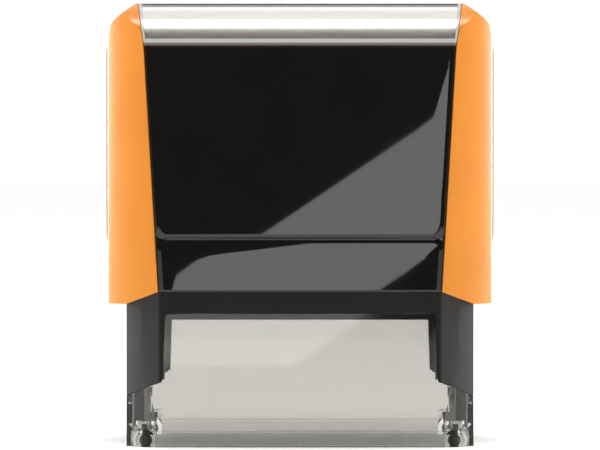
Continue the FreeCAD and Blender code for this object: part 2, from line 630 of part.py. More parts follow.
def rubber_die():
    """Rubber with a raised print: a border, and plain bars where lines of text would be."""
    face = AXLE_Z + DIE_RADIUS
    base = face - RELIEF
    sheet = centred_box(PLATE_X, PLATE_Y, base - RUBBER_SHEET, base)
    sheet = fillet_where(sheet, 1.0, lambda e: along(e, V(0, 0, 1)))
    line = 0.6
    border = centred_box(RELIEF_X, RELIEF_Y, base - 0.05, face)
    border = border.cut(centred_box(RELIEF_X - line, RELIEF_Y - line, base - 1, face + 1))
    bars = []
    for y, half_height, words in (
        (4.6, 1.6, ((-24.0, -9.0), (-6.5, 10.5), (13.0, 24.0))),
        (-0.4, 0.9, ((-20.0, -12.0), (-10.5, 3.5), (5.0, 20.0))),
        (-4.0, 0.9, ((-16.0, -4.0), (-2.5, 4.5), (6.0, 16.0))),
        (-7.6, 0.7, ((-12.0, 12.0),)),
    ):
        y_scale, x_scale = PLATE_Y / 11.0, PLATE_X / 29.0
        for x0, x1 in words:
            y0, y1 = (y - half_height) * y_scale, (y + half_height) * y_scale
            bars.append(box(x0 * x_scale, x1 * x_scale, y0, y1, base - 0.05, face))
    return sheet.multiFuse([border] + bars)


# ---------------------------------------------------------------- ink pad
def pad_tray():
    """Shallow tray, open downwards, that holds the ink felt."""
    tray = centred_box(TRAY_X, TRAY_Y, TRAY_Z, TRAY_TOP)
    tray = fillet_where(tray, 0.8, lambda e: along(e, V(0, 0, 1)))
    hollow = centred_box(FELT_X, FELT_Y, TRAY_Z - 1, TRAY_TOP - TRAY_ROOF)
    pockets = [box(x0, x1, -FELT_Y + 1, FELT_Y - 1, TRAY_TOP - 1.0, TRAY_TOP + 1)
               for x0, x1 in ((-FELT_X + 1, -1.0), (1.0, FELT_X - 1))]
    return cut(tray, [hollow] + pockets)


def pad_felt():
    felt = centred_box(FELT_X - 0.05, FELT_Y - 0.05, FELT_Z, TRAY_TOP - TRAY_ROOF)
    return chamfer_where(felt, 0.3, lambda e: abs(e.CenterOfMass.z - FELT_Z) < 0.01)


def pad_grip():
    """Ribbed finger grip on the tray's right end."""
    z0, z1 = TRAY_Z + 0.5, TRAY_TOP - 0.5
    grip = box(TRAY_X, TRAY_X + GRIP_THICK, -GRIP_HALF_Y, GRIP_HALF_Y, z0, z1)
    grip = fillet_where(grip, 0.8, lambda e: e.CenterOfMass.x > TRAY_X + GRIP_THICK - 0.01)
    grooves = [rod_z(0.35, TRAY_X + GRIP_THICK + 0.1, y, z0, z1) for y in (-3.6, -1.8, 0.0, 1.8, 3.6)]
    return cut(grip, grooves)


# ---------------------------------------------------------------- base
def base_block(z0, z1, inset=0.0, side_x=FRAME_X):
    """The base's outer block between two heights, inset all round."""
    front = frame_y(0.0) + 0.5 - inset
    prism = plan_prism(side_x, front, FRAME_WING_R - inset, z0, z1)
    return prism.common(lean_prism(frame_y, z0, z1, inset))


def black_outline(gap):
    """From the front: the frame's skin above the clear skirt and round the clear pane."""
    half_low, half_top = PANE_HALF_LOW + gap, PANE_HALF_TOP + gap
    z_side, z_front = LEG_SKIRT + gap, LEG_SKIRT + SKIRT_RISE + gap
    return [
        (-BIG, z_side), (-FRAME_X, z_side), (-half_low, z_front), (-half_top, PANE_TOP + gap),
        (half_top, PANE_TOP + gap), (half_low, z_front), (FRAME_X, z_side), (BIG, z_side),
        (BIG, FRAME_TOP + 1), (-BIG, FRAME_TOP + 1),
    ]


def black_prism(gap):
    """That outline through the whole depth, with round corners at the pane's top."""
    prism = xz_prism(black_outline(gap), -BIG, BIG)

    def top_corner(e):
        middle = e.CenterOfMass
        return along(e, V(0, 1, 0)) and abs(middle.z - PANE_TOP - gap) < 0.01 and abs(middle.x) < FRAME_X

    return fillet_where(prism, PANE_CORNER, top_corner)


TONGUE_LOW = 3.5
TONGUE_Y = 10.5
TONGUE_OUT = FRAME_X - CLEAR_WALL - PART_GAP
LIP_TOP = 1.3
LIP_SIDE = 0.35
LIP_LOW = LEG_SKIRT + SKIRT_RISE + 0.4
LEDGE = 0.65  # how far the tray's rim rests on each rail
LEDGE_THICK = 1.25


def groove(path, x0, x1):
    """A groove whose middle follows path(s) in the YZ plane, as wide as a guide pin and its clearance."""
    half = GUIDE_PIN_R + PIN_GAP
    count = 24
    sides = ([], [])
    for i in range(count + 1):
        s = STROKE * i / count
        step = STROKE * 1e-4
        (ya, za), (yb, zb) = path(s - step), path(s + step)
        length = math.hypot(yb - ya, zb - za)
        ny, nz = (zb - za) / length, (ya - yb) / length
        y, z = path(s)
        for side, sign in zip(sides, (1, -1)):
            side.append(V(x0, y + sign * ny * half, z + sign * nz * half))
    curves = []
    for side in sides:
        curve = Part.BSplineCurve()
        curve.interpolate(side)
        curves.append(curve.toShape())

    def cap_arc(s, sign):
        step = STROKE * 1e-4
        (ya, za), (yb, zb) = path(s - step), path(s + step)
        length = math.hypot(yb - ya, zb - za)
        y, z = path(s)
        tip = V(x0, y + sign * (yb - ya) / length * half, z + sign * (zb - za) / length * half)
        end = 0 if sign < 0 else -1
        return Part.Arc(sides[0][end], tip, sides[1][end]).toShape()

    edges = Part.__sortEdges__(curves + [cap_arc(0.0, -1), cap_arc(STROKE, 1)])
    return Part.Face(Part.Wire(edges)).extrude(V(x1 - x0, 0, 0))


def lower_frame():
    """Black housing: legs, front and rear bands, side walls with the guide grooves, tray rails and deck."""
    skin = base_block(TONGUE_LOW, FRAME_TOP)
    inside = plan_prism(FRAME_INNER_X, frame_y(0.0) - FRAME_WALL, FRAME_WING_R - FRAME_WALL, -1, DECK_Z)
    inside = inside.common(lean_prism(frame_y, -1, DECK_Z, FRAME_WALL))
    shell = skin.cut(inside)
    shell = shell.common(black_prism(0.0))
    tongue = box(FRAME_INNER_X, TONGUE_OUT, -TONGUE_Y, TONGUE_Y, TONGUE_LOW, LEG_SKIRT + SKIRT_RISE)
    lip = pane_lip()
    rail = tray_rail()
    pegs = [rod_z(RIB_R, 0, 0, FRAME_TOP - 0.2, FRAME_TOP + 1.2)]
    body = shell.multiFuse(both_sides(tongue) + [lip, turned(lip), rail, turned(rail)] + pegs)
    groove_c = groove(guide_pin_c, -FRAME_INNER_X - GROOVE_DEPTH, -FRAME_INNER_X + 1)
    groove_s = groove(guide_pin_s, FRAME_INNER_X - 1, FRAME_INNER_X + GROOVE_DEPTH)
    body = cut(body, [groove_c, groove_s])
    for tool in (axle_slot(), tray_window(), *lock_recesses()):
        body = cut(body, both_sides(tool))
    return body.removeSplitter()


def axle_slot():
    """Straight slot that the axle slides down, through the side wall."""
    half = AXLE_R + AXLE_GAP
    return slot_yz(half, AXLE_Z - STROKE - half, AXLE_Z + half, FRAME_INNER_X - 1, FRAME_X + 1)


def tray_window():
    """Opening in the side wall that the ink tray slides out through."""
    return box(FRAME_INNER_X - 1, FRAME_X + 1, -PORT_Y + 0.1, PORT_Y - 0.1, FELT_Z - 0.25, DECK_Z - 0.05)


def lock_recesses():
    """Recesses in the side wall's outer face. The lock buttons' prongs catch under the rib between them."""
    depth_x = FRAME_X - BUTTON_TRAVEL - 0.05
    prong_top = BUTTON_Z1 - 0.2
    prong_low = prong_top - PRONG_HEIGHT
    catch_low = prong_top - LOCK_STROKE + 0.1
    half = PRONG_HALF_Y + BUTTON_GAP
    found = []
    for y in (-PRONG_Y, PRONG_Y):
        found.append(box(depth_x, FRAME_X + 1, y - half, y + half, prong_low - BUTTON_GAP, prong_top + BUTTON_GAP))
        found.append(box(depth_x, FRAME_X + 1, y - half, y + half, prong_low - STROKE - BUTTON_GAP, catch_low))
    return found


def pane_lip():
    """Lip behind the clear pane's top and upper sides, at the front."""
    depth = CLEAR_WALL + PART_GAP
    slab = lean_prism(frame_y, 1, PANE_TOP + 2, depth).cut(lean_prism(frame_y, 0, PANE_TOP + 3, depth + 0.8))
    half, top = PANE_HALF_TOP + 1, PANE_TOP + 1.5
    outline = [(-half, LIP_LOW), (half, LIP_LOW), (half, top), (-half, top)]
    half0, half1 = PANE_HALF_LOW - 0.1 - LIP_SIDE, PANE_HALF_TOP - LIP_SIDE
    low, high = LIP_LOW - 1, PANE_TOP - LIP_TOP
    opening = [(-half0, low), (half0, low), (half1, high), (-half1, high)]
    frame = xz_prism(outline, -BIG, 0).cut(xz_prism(opening, -BIG, BIG))
    return slab.common(frame)


def tray_rail():
    """Front rail for the ink tray: a ledge under its rim and a fence beside it."""
    edge = TRAY_Y - LEDGE
    fence = TRAY_Y + TRAY_GAP
    half_x, top = FRAME_INNER_X + 0.5, TRAY_Z - 0.05
    ledge = box(-half_x, half_x, -BIG, -edge, top - LEDGE_THICK, top)
    wall = box(-half_x, half_x, -fence - 0.9, -fence, TRAY_Z - 0.2, DECK_Z + 0.2)
    inside = base_block(TRAY_Z - 3, DECK_Z + 0.3, FRAME_WALL / 2, FRAME_X - 1.0)
    return ledge.fuse(wall).common(inside)


def clear_base():
    """Clear foot: a skirt round the bottom, and a pane at the front and rear."""
    skin = base_block(FOOT_LIFT, PANE_TOP + 1)
    inside = plan_prism(FRAME_X - CLEAR_WALL, frame_y(0.0) - CLEAR_WALL, FRAME_WING_R - CLEAR_WALL, -1, BIG)
    inside = inside.common(lean_prism(frame_y, -1, PANE_TOP + 2, CLEAR_WALL))
    body = skin.cut(inside).cut(black_prism(-PART_GAP))
    rim = base_block(FOOT_LIFT, RIM_HEIGHT)
    rim_inside = plan_prism(FRAME_X - CLEAR_WALL, frame_y(0.0) - RIM_THICK, FRAME_WING_R - RIM_THICK, -1, BIG)
    rim_inside = rim_inside.common(lean_prism(frame_y, -1, RIM_HEIGHT + 2, RIM_THICK))
    bosses = four_corners(rod_z(1.9, FOOT_X, foot_y(), NOTCH_HEIGHT, NOTCH_HEIGHT + FOOT_STEM + 0.6))
    bosses = [b.common(base_block(0, PANE_TOP)) for b in bosses]
    body = body.multiFuse([rim.cut(rim_inside)] + bosses)
    tongue_room = box(FRAME_INNER_X - 0.3, TONGUE_OUT + PART_GAP, -TONGUE_Y - 0.3, TONGUE_Y + 0.3,
                      TONGUE_LOW - 0.3, LEG_SKIRT + 1)
    body = cut(body, both_sides(tongue_room) + four_corners(corner_notch()))
    stems = four_corners(rod_z(FOOT_STEM_R, FOOT_X, foot_y(), 0, NOTCH_HEIGHT + FOOT_STEM))
    body = cut(body, stems + both_sides(axle_slot_room()) + [alignment_groove(), turned(alignment_groove())])
    return body


def foot_y():
    """Feet sit on the middle of the corner's wall."""
    return WING_CY + math.sqrt((FRAME_WING_R - 1.6) ** 2 - (FOOT_X - WING_CX) ** 2)


def axle_slot_room():
    """The lower end of the axle's slot, open upwards through the skirt."""
    half = AXLE_R + AXLE_GAP
    low = AXLE_Z - STROKE - half
    slot = slot_yz(half, low, LEG_SKIRT + 3, FRAME_INNER_X - 1, FRAME_X + 1)
    return slot


def corner_notch():
    """Arched notch through the skirt round a rubber foot."""
    y0 = foot_y() - 3.0
    straight = NOTCH_HEIGHT - NOTCH_HALF
    block = box(FOOT_X - NOTCH_HALF, FOOT_X + NOTCH_HALF, y0, y0 + 8, -1, straight)
    arch = Part.makeCylinder(NOTCH_HALF, 8, V(FOOT_X, y0, straight), V(0, 1, 0))
    return block.fuse(arch)


def alignment_groove():
    """Shallow groove low in the front wall, with a tick left standing at its middle."""
    halves = []
    for x0, x1 in ((-MARK_HALF, -MARK_TICK), (MARK_TICK, MARK_HALF)):
        band = box(x0, x1, -BIG, 0, MARK_LOW, MARK_LOW + MARK_HEIGHT)
        halves.append(band.cut(lean_prism(frame_y, -1, MARK_LOW + MARK_HEIGHT + 3, MARK_DEPTH)))
    return Part.makeCompound(halves)


def rubber_feet():
    """Four feet: a ball with a flat underside, and a stem pressed into the clear base."""
    x, y = FOOT_X, foot_y()
    pad = rod_z(FOOT_FLAT_R, x, y, 0, FOOT_BALL_R / 3)
    ball = Part.makeSphere(FOOT_BALL_R, V(x, y, FOOT_BALL_R + 0.1))
    stem = rod_z(FOOT_STEM_R, x, y, FOOT_BALL_R, NOTCH_HEIGHT + FOOT_STEM)
    return four_corners(pad.multiFuse([ball, stem]))


def spring_height(turn):
    """Height of the wire's middle above the deck after so many turns: the coils at both ends lie close."""
    closed = SPRING_WIRE * SPRING_CLOSED_PITCH
    length = CAP_INNER_TOP - FRAME_TOP - SPRING_WIRE
    opened = length - closed * SPRING_TURNS
    share = (turn - SPRING_END_TURNS) / (SPRING_TURNS - 2 * SPRING_END_TURNS)
    return SPRING_WIRE / 2 + closed * turn + opened * min(max(share, 0.0), 1.0)


def return_spring():
    """Compression spring between the base's deck and the cap's top."""
    per_turn = 16
    points = []
    for i in range(round(SPRING_TURNS * per_turn) + 1):
        angle = 2 * math.pi * i / per_turn
        height = FRAME_TOP + spring_height(i / per_turn)
        points.append(V(SPRING_R * math.cos(angle), SPRING_R * math.sin(angle), height))
    line = Part.BSplineCurve()
    line.interpolate(points)
    direction = line.tangent(line.FirstParameter)[0]
    section = Part.Wire(Part.makeCircle(SPRING_WIRE / 2, points[0], direction))
    return Part.Wire([line.toShape()]).makePipeShell([section], True, False)


def main():
    os.makedirs(OUT, exist_ok=True)
    export("cap_shell", cap_shell())
    panel = front_panel()
    export("front_panel", panel)
    export("rear_panel", turned(panel))
    export("index_window", index_window())
    export("index_card", index_card())
    plate = side_plate()
    export("side_plate_right", plate)
    export("side_plate_left", mirror_x(plate))
    export("yoke", yoke())
    button = lock_button()
    export("lock_button_right", button)
    export("lock_button_left", mirror_x(button))
    export("plate_holder", plate_holder())
    export("mounting_plate", mounting_plate())
    export("rubber_die", rubber_die())
    export("pad_tray", pad_tray())
    export("pad_felt", pad_felt())
    grip = pad_grip()
    export("pad_grip_right", grip)
    export("pad_grip_left", mirror_x(grip))
    export("lower_frame", lower_frame())
    export("clear_base", clear_base())
    export("rubber_feet", rubber_feet())
    export("return_spring", return_spring())
    print(f"width {2 * (CAP_X + PLATE_PROUD):.2f} depth {2 * cap_y(CAP_BOTTOM):.2f} height {HEIGHT:.2f}")
    print(f"axle {AXLE_Z:.5f} felt {FELT_Z:.2f} frame top {FRAME_TOP:.2f} press gap {PRESS_GAP:.2f}")


main()
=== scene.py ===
import json
import math

import bmesh
import bpy
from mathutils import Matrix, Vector


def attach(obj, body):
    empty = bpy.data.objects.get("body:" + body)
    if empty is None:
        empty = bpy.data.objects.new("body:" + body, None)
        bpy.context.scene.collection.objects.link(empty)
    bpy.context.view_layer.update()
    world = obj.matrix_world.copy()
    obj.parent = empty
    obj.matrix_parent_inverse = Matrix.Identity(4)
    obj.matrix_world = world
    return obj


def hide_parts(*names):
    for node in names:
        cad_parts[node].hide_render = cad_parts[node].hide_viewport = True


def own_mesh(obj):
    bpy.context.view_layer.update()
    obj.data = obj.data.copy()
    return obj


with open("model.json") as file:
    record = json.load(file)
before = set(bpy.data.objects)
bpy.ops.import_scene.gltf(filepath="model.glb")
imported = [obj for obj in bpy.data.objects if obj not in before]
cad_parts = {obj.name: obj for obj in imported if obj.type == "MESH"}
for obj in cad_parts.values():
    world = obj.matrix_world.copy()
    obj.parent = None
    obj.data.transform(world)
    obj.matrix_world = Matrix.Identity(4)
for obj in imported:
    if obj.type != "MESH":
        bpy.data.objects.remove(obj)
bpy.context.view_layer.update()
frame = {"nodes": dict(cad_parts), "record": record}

NODES = frame["nodes"]
MM = 0.001

# Glossy panels, measured from a panel's own edges and its front plane.
PANEL_THICK = 1.1 * MM
PANEL_DROP = 0.12 * MM  # the visual panel reaches this far below the CAD one
BEAD_UP = 10.33 * MM  # the fine bead's middle, above the visual panel's lower edge
BEAD_R = 0.36 * MM
BEAD_SUNK = 0.36 * MM  # the bead's axis, below the front plane
FLANK = (0.24, 0.72)  # where its flat flank starts and ends, as shares of its radius
BEAD_TWIST = 0.1  # how much further the flank leans at the bead's ends
BEAD_SHORT = 1.6 * MM  # the bead stops short of the sides
BEAD_TO_FIELD = 0.75 * MM  # from the bead's middle to each field's edge
FIELD_BORDER = 1.0 * MM  # the fields stop short of the sides
FIELD_CORNER = 1.2 * MM
FIELD_ROLL = 2.6 * MM  # a field's face starts to fall this far from its edge
FIELD_FALL = 0.016 * MM
FIELD_TILT = math.tan(math.radians(0.2))  # the lower field leans less than the upper one
BORDER_SLOPE = 0.2
BORDER_DEPTH = 0.2 * MM
EDGE_R = 0.3 * MM
SMOOTH_ANGLE = math.radians(50)  # a panel shades smoothly across edges flatter than this

# Where a panel's mesh has its lines: round its edge, as shares of the edge's radius; on its face, in mm from
# the edge; across the bead, as shares of its radius; and beside the bead, in mm from its middle.
EDGE_LINES = (0, 0.02, 0.06, 0.13, 0.24, 0.4, 0.62, 1)
FACE_LINES = (0.45, 0.65, 0.85, 0.95, 1.0, 1.1, 1.25, 1.45, 1.7, 2.0, 2.35, 2.75, 3.2, 3.7)
BEAD_LINES = (0, 0.13, FLANK[0], FLANK[0] + 0.02, FLANK[1] - 0.02, FLANK[1], 0.87, 0.95, 1.0)
GROOVE_LINES = (0.38, 0.5, 0.62, 0.72, 0.78, 0.88, 1.05, 1.3, 1.6, 2.0, 2.4, 2.8, 3.3)
ROW_SPACING = 2.5 * MM  # between lines on the plain faces
COLUMN_SPACING = 3 * MM
ROW_GAP = 0.2 * MM  # other rows stay this far from those beside the bead

# Finishes that change along a piece, and a band of painted shade on the index cover's lip.
GRAIN_EDGE = 27.4 * MM  # the housing is grained outside this half width
GRAIN_FADE = 0.2 * MM
SATIN_SIDE = 0.35 * MM  # the index cover's satin lip, in from its side edges
SATIN_LOW = 1.2 * MM  # and up from its lower edges
PAINTED_SHADE_LOW = 0.45 * MM  # the lowest part of that lip is darker: painted shade, as under a step
SATIN_FADE = 0.1 * MM

# CAD nodes with rounded edges.
EDGE_WIDTHS = {"cap_shell": 0.2 * MM, "lower_frame": 0.15 * MM, "clear_base": 0.35 * MM}
BEVEL_ANGLE = math.radians(38)  # only edges sharper than this are rounded
WELD_REACH = 0.001 * MM
EDGE_BAND = 0.02 * MM  # points this close to an edge's height belong to it

# Studio, in metres. On each axis the surroundings go from full strength to the last value, between two
# directions.
SURROUNDINGS = (("Y", -0.35, -0.93, 0.1), ("Y", 0.8, 0.97, 0.1), ("Z", 0.3, 0.7, 1.22))
FLOOR_HALF = 6.0
CAMERA_AT = (0, -0.768, 0.058)
CAMERA_TO = (0, -0.0216, 0.0433)
LENS, SENSOR = 232, 36  # mm


# ---------------------------------------------------------------- materials
def linear(hex_code):
    """sRGB hex to the linear colour that the shaders use."""
    parts = [int(hex_code[i : i + 2], 16) / 255 for i in (0, 2, 4)]
    return tuple(v / 12.92 if v <= 0.04045 else ((v + 0.055) / 1.055) ** 2.4 for v in parts) + (1.0,)


def add(material, kind, settings=None, **inputs):
    """Adds one shader node. settings are its properties; inputs are values, or sockets to link from."""
    tree = material.node_tree
    node = tree.nodes.new("ShaderNode" + kind)
    for key, value in (settings or {}).items():
        setattr(node, key, value)
    for key, value in inputs.items():
        socket = node.inputs[int(key[1:])] if key[1:].isdigit() else node.inputs[key.replace("_", " ")]
        if isinstance(value, bpy.types.NodeSocket):
            tree.links.new(value, socket)
        else:
            socket.default_value = value
    return node


def new_material(name):
    """An empty material with its output, and the object coordinates that its patterns are laid in."""
    material = bpy.data.materials.new(name)
    material.use_nodes = True
    material.node_tree.nodes.clear()
    material["out"] = add(material, "OutputMaterial").name
    return material, add(material, "TexCoord").outputs["Object"]


def finish_material(material, surface):
    """Joins the last shader to the output."""
    out = material.node_tree.nodes[material["out"]]
    material.node_tree.links.new(surface, out.inputs["Surface"])
    return material


def blend_colours(material, factor, low, high, start=0.3, end=0.7):
    """A colour ramp between two hex colours, driven by a pattern."""
    ramp = add(material, "ValToRGB", Fac=factor)
    ramp.color_ramp.elements[0].position = start
    ramp.color_ramp.elements[1].position = end
    ramp.color_ramp.elements[0].color = linear(low)
    ramp.color_ramp.elements[1].color = linear(high)
    return ramp.outputs["Color"]


def satin_orange_abs():
    """ABS, injection moulded in a satin-polished tool: soft wide highlights, faint ripple and flow clouds."""
    m, where = new_material("satin orange ABS")
    clouds = add(m, "TexNoise", Vector=where, Scale=1 / (14 * MM), Detail=3.0)
    ripple = add(m, "TexNoise", Vector=where, Scale=1 / (0.9 * MM), Detail=2.0)
    gloss = add(m, "MapRange", Value=clouds.outputs[0], To_Min=0.27, To_Max=0.36)
    skin = add(m, "Bump", Strength=0.06, Distance=0.05 * MM, Height=ripple.outputs[0])
    shader = add(m, "BsdfPrincipled", Base_Color=blend_colours(m, clouds.outputs[0], "D9800B", "DF8710"),
                 Roughness=gloss.outputs[0], IOR=1.53, Normal=skin.outputs[0])
    shader.inputs["Coat Weight"].default_value = 0.12
    shader.inputs["Coat Roughness"].default_value = 0.16
    return finish_material(m, shader.outputs[0])


def polished_black_abs():
    """ABS, injection moulded in a mirror-polished tool: sharp reflections with the faintest handling haze."""
    m, where = new_material("polished black ABS")
    haze = add(m, "TexNoise", Vector=where, Scale=1 / (9 * MM), Detail=4.0)
    gloss = add(m, "MapRange", Value=haze.outputs[0], To_Min=0.008, To_Max=0.022)
    shader = add(m, "BsdfPrincipled", Base_Color=blend_colours(m, haze.outputs[0], "0A0908", "0D0C0B"),
                 Roughness=gloss.outputs[0], IOR=1.53)
    return finish_material(m, shader.outputs[0])


def grained_black_abs():
    """ABS, injection moulded in a tool with two finishes: a fine spark-eroded grain towards both ends, which
    scatters light and looks dark grey, and a plain smoother finish between them, which looks black."""
    m, where = new_material("grained black ABS")
    at = add(m, "SeparateXYZ", _0=where)
    across = add(m, "Math", {"operation": "ABSOLUTE"}, _0=at.outputs["X"])
    flat = add(m, "MapRange", Value=across.outputs[0], From_Min=GRAIN_EDGE + GRAIN_FADE,
               From_Max=GRAIN_EDGE - GRAIN_FADE)
    clouds = add(m, "TexNoise", Vector=where, Scale=1 / (11 * MM), Detail=3.0)
    # The grain is about 0.1 mm, drawn at 0.22 mm so that it shows.
    grain = add(m, "TexNoise", Vector=where, Scale=1 / (0.22 * MM), Detail=2.0, Roughness=0.7)
    rough = add(m, "MapRange", Value=grain.outputs[0], To_Min=0.42, To_Max=0.62)
    gloss = add(m, "Mix", {"data_type": "FLOAT"}, Factor=flat.outputs[0], A=rough.outputs[0], B=0.36)
    relief = add(m, "MapRange", Value=flat.outputs[0], To_Min=0.35, To_Max=0.03)
    skin = add(m, "Bump", Strength=relief.outputs[0], Distance=0.04 * MM, Height=grain.outputs[0])
    eroded = blend_colours(m, clouds.outputs[0], "262422", "2C2926")
    plain = blend_colours(m, clouds.outputs[0], "080706", "0A0909")
    colour = add(m, "Mix", {"data_type": "RGBA"}, _0=flat.outputs[0], _6=eroded, _7=plain)
    shine = add(m, "MapRange", Value=flat.outputs[0], To_Min=0.5, To_Max=0.25)
    shader = add(m, "BsdfPrincipled", Base_Color=colour.outputs[2], Roughness=gloss.outputs[0], IOR=1.53,
                 Specular_IOR_Level=shine.outputs[0], Normal=skin.outputs[0])
    return finish_material(m, shader.outputs[0])


def black_acetal():
    """Acetal, injection moulded in a plain tool: a slippery, slightly waxy black with soft highlights."""
    m, where = new_material("black acetal")
    clouds = add(m, "TexNoise", Vector=where, Scale=1 / (5 * MM), Detail=3.0)
    gloss = add(m, "MapRange", Value=clouds.outputs[0], To_Min=0.3, To_Max=0.42)
    edge = add(m, "Bevel", {"samples": 4}, Radius=0.15 * MM)
    shader = add(m, "BsdfPrincipled", Base_Color=blend_colours(m, clouds.outputs[0], "191817", "1F1E1C"),
                 Roughness=gloss.outputs[0], IOR=1.48, Normal=edge.outputs[0])
    return finish_material(m, shader.outputs[0])


def moulded_abs(name, low, high, rough):
    """ABS, injection moulded in a plain tool: an even colour with faint flow clouds and a fine ripple."""
    m, where = new_material(name)
    clouds = add(m, "TexNoise", Vector=where, Scale=1 / (6 * MM), Detail=3.0)
    ripple = add(m, "TexNoise", Vector=where, Scale=1 / (0.5 * MM), Detail=2.0)
    gloss = add(m, "MapRange", Value=clouds.outputs[0], To_Min=rough - 0.04, To_Max=rough + 0.06)
    edge = add(m, "Bevel", {"samples": 4}, Radius=0.2 * MM)
    skin = add(m, "Bump", Strength=0.08, Distance=0.05 * MM, Height=ripple.outputs[0], Normal=edge.outputs[0])
    shader = add(m, "BsdfPrincipled", Base_Color=blend_colours(m, clouds.outputs[0], low, high),
                 Roughness=gloss.outputs[0], IOR=1.53, Normal=skin.outputs[0])
    return finish_material(m, shader.outputs[0])


def clear_plastic(name, tint, haze):
    """Polystyrene, injection moulded clear: a faint tint, a slight moulding haze, and lamps shine through it.
    Its IOR is set to match the object's look, and is lower than polystyrene's own 1.59."""
    m, where = new_material(name)
    ripple = add(m, "TexNoise", Vector=where, Scale=1 / (8 * MM), Detail=1.0)
    skin = add(m, "Bump", Strength=0.03, Distance=0.02 * MM, Height=ripple.outputs[0])
    blur = add(m, "MapRange", Value=ripple.outputs[0], To_Min=haze / 2, To_Max=haze * 1.5)
    glass = add(m, "BsdfPrincipled", Base_Color=linear(tint), Roughness=blur.outputs[0], IOR=1.42,
                Normal=skin.outputs[0])
    glass.inputs["Transmission Weight"].default_value = 1.0
    open_way = add(m, "BsdfTransparent", Color=linear(tint))
    lamp = add(m, "LightPath")
    both = add(m, "MixShader", Fac=lamp.outputs["Is Shadow Ray"], _1=glass.outputs[0], _2=open_way.outputs[0])
    return m, where, both.outputs[0]


def shade_tinted_polystyrene():
    """Polystyrene, injection moulded clear; its grey tint is painted shade for the dim backdrop behind."""
    # painted shade: the grey tint darkens all that is seen through the pane, in place of the dim backdrop
    # behind it
    m, _, surface = clear_plastic("clear polystyrene with a painted shade tint", "CCCBC7", 0.03)
    return finish_material(m, surface)


def index_polystyrene():
    """Polystyrene, injection moulded clear, with a pale satin lip along the lower edges and the sides, where
    it clips on. The lowest part of the lip is a darker band: painted shade, as under a step."""
    m, where, surface = clear_plastic("clear polystyrene with a satin lip and painted shade", "F4F3F1", 0.02)
    at = add(m, "SeparateXYZ", _0=where)
    low, high, low_half, high_half, _ = edges_of("index_window")
    half = add(m, "MapRange", {"clamp": False}, Value=at.outputs["Z"], From_Min=low, From_Max=high,
               To_Min=low_half, To_Max=high_half)
    across = add(m, "Math", {"operation": "ABSOLUTE"}, _0=at.outputs["X"])
    to_side = add(m, "Math", {"operation": "SUBTRACT"}, _0=half.outputs[0], _1=across.outputs[0])
    to_low = add(m, "Math", {"operation": "SUBTRACT"}, _0=at.outputs["Z"], _1=low)
    beside = add(m, "MapRange", Value=to_side.outputs[0], From_Min=SATIN_SIDE,
                 From_Max=SATIN_SIDE + SATIN_FADE, To_Min=1.0, To_Max=0.0)
    below = add(m, "MapRange", Value=to_low.outputs[0], From_Min=SATIN_LOW,
                From_Max=SATIN_LOW + SATIN_FADE, To_Min=1.0, To_Max=0.0)
    above_painted_shade = add(m, "MapRange", Value=to_low.outputs[0], From_Min=PAINTED_SHADE_LOW,
                     From_Max=PAINTED_SHADE_LOW + SATIN_FADE)
    lip = add(m, "Math", {"operation": "MAXIMUM"}, _0=beside.outputs[0], _1=below.outputs[0])
    speckle = add(m, "TexNoise", Vector=where, Scale=1 / (0.3 * MM), Detail=2.0)
    pale = blend_colours(m, speckle.outputs[0], "B4B2AE", "BEBCB8")
    # painted shade: a darker grey for the lip's lowest band, standing in for the shade under the step
    painted_shade = blend_colours(m, speckle.outputs[0], "5F5E5C", "686765")
    colour = add(m, "Mix", {"data_type": "RGBA"}, _0=above_painted_shade.outputs[0], _6=painted_shade, _7=pale)
    satin = add(m, "BsdfPrincipled", Base_Color=colour.outputs[2], Roughness=0.3, IOR=1.59)
    both = add(m, "MixShader", Fac=lip.outputs[0], _1=surface, _2=satin.outputs[0])
    return finish_material(m, both.outputs[0])


def silvered_card():
    """Card with a silver-grey metallised coat: it mirrors its surroundings softly, so it's bright on top and
    falls off to grey where it faces forwards."""
    m, where = new_material("silvered card")
    fibres = add(m, "TexNoise", Vector=where, Scale=1 / (0.8 * MM), Detail=5.0, Roughness=0.7)
    gloss = add(m, "MapRange", Value=fibres.outputs[0], To_Min=0.2, To_Max=0.28)
    skin = add(m, "Bump", Strength=0.05, Distance=0.03 * MM, Height=fibres.outputs[0])
    shader = add(m, "BsdfPrincipled", Base_Color=blend_colours(m, fibres.outputs[0], "DAD8D5", "E4E2DF"),
                 Metallic=0.85, Roughness=gloss.outputs[0], Normal=skin.outputs[0])
    return finish_material(m, shader.outputs[0])


def engraved_rubber():
    """Natural rubber, laser engraved: a matt red-brown with the engraver's fine scan lines."""
    m, where = new_material("laser engraved rubber")
    scan = add(m, "TexWave", {"wave_type": "BANDS", "bands_direction": "Y"}, Vector=where,
               Scale=0.314 / (0.35 * MM), Distortion=0.4)
    dust = add(m, "TexNoise", Vector=where, Scale=1 / (0.6 * MM), Detail=4.0)
    skin = add(m, "Bump", Strength=0.2, Distance=0.04 * MM, Height=scan.outputs["Fac"])
    shader = add(m, "BsdfPrincipled", Base_Color=blend_colours(m, dust.outputs[0], "5E2A1F", "743629"),
                 Roughness=0.78, Normal=skin.outputs[0])
    return finish_material(m, shader.outputs[0])


def inked_felt():
    """Wool felt, needled and soaked in black ink: damp, fibrous and nearly black."""
    m, where = new_material("ink-soaked felt")
    fibres = add(m, "TexNoise", Vector=where, Scale=1 / (0.4 * MM), Detail=6.0, Roughness=0.75)
    wet = add(m, "MapRange", Value=fibres.outputs[0], To_Min=0.35, To_Max=0.8)
    skin = add(m, "Bump", Strength=0.8, Distance=0.2 * MM, Height=fibres.outputs[0])
    shader = add(m, "BsdfPrincipled", Base_Color=blend_colours(m, fibres.outputs[0], "050506", "15151A"),
                 Roughness=wet.outputs[0], Normal=skin.outputs[0])
    shader.inputs["Sheen Weight"].default_value = 0.2
    return finish_material(m, shader.outputs[0])


